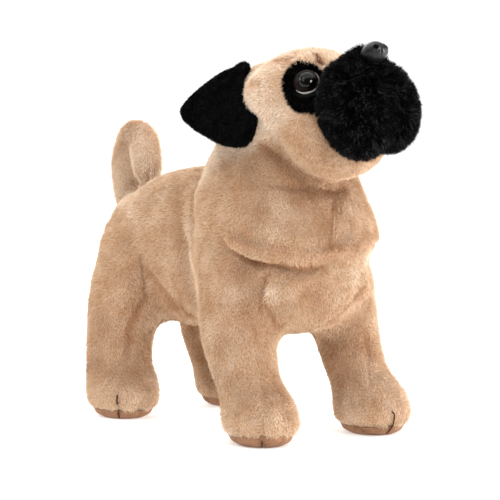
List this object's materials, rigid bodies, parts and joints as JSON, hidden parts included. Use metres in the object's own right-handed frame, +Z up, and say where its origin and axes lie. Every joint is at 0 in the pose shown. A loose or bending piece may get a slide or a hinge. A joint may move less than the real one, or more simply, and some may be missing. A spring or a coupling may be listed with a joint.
{
  "type": "plush toy pug",
  "caption": "Stuffed plush toy pug standing on four paws with its head raised, a black muzzle, drooping ears and a curled tail.",
  "frame": {"origin": "on the floor, below the middle of the toy's box", "axes": "the toy faces -Y, its left side is +X, and +Z is up"},
  "size_m": [0.216, 0.461, 0.3928],
  "materials": {
    "fawn_plush": "short, soft fawn pile",
    "black_plush": "long, soft black pile",
    "patch_plush": "short black pile",
    "ear_plush": "very short black velvet pile",
    "nose_plastic": "moulded, semi-gloss",
    "eye_plastic": "polished dome, dark brown iris and black pupil",
    "rim_plastic": "pale grey, satin",
    "suede": "smooth tan suede cloth",
    "thread": "dark brown thread"
  },
  "bodies": {
    "root": {"torso_rear": "fawn_plush", "torso_front": "fawn_plush", "neck": "fawn_plush", "head": "fawn_plush", "tail": "fawn_plush", "muzzle": "black_plush", "nose": "nose_plastic", "eye_patch_left": "patch_plush", "eye_left": "eye_plastic", "eye_rim_left": "rim_plastic", "ear_left": "ear_plush", "eye_patch_right": "patch_plush", "eye_right": "eye_plastic", "eye_rim_right": "rim_plastic", "ear_right": "ear_plush", "leg_front_right": "fawn_plush", "sole_front_right": "suede", "toe_line_front_right_1": "thread", "toe_line_front_right_2": "thread", "leg_front_left": "fawn_plush", "sole_front_left": "suede", "toe_line_front_left_1": "thread", "toe_line_front_left_2": "thread", "leg_hind_right": "fawn_plush", "sole_hind_right": "suede", "toe_line_hind_right_1": "thread", "toe_line_hind_right_2": "thread", "leg_hind_left": "fawn_plush", "sole_hind_left": "suede", "toe_line_hind_left_1": "thread", "toe_line_hind_left_2": "thread"}
  },
  "joints": []
}
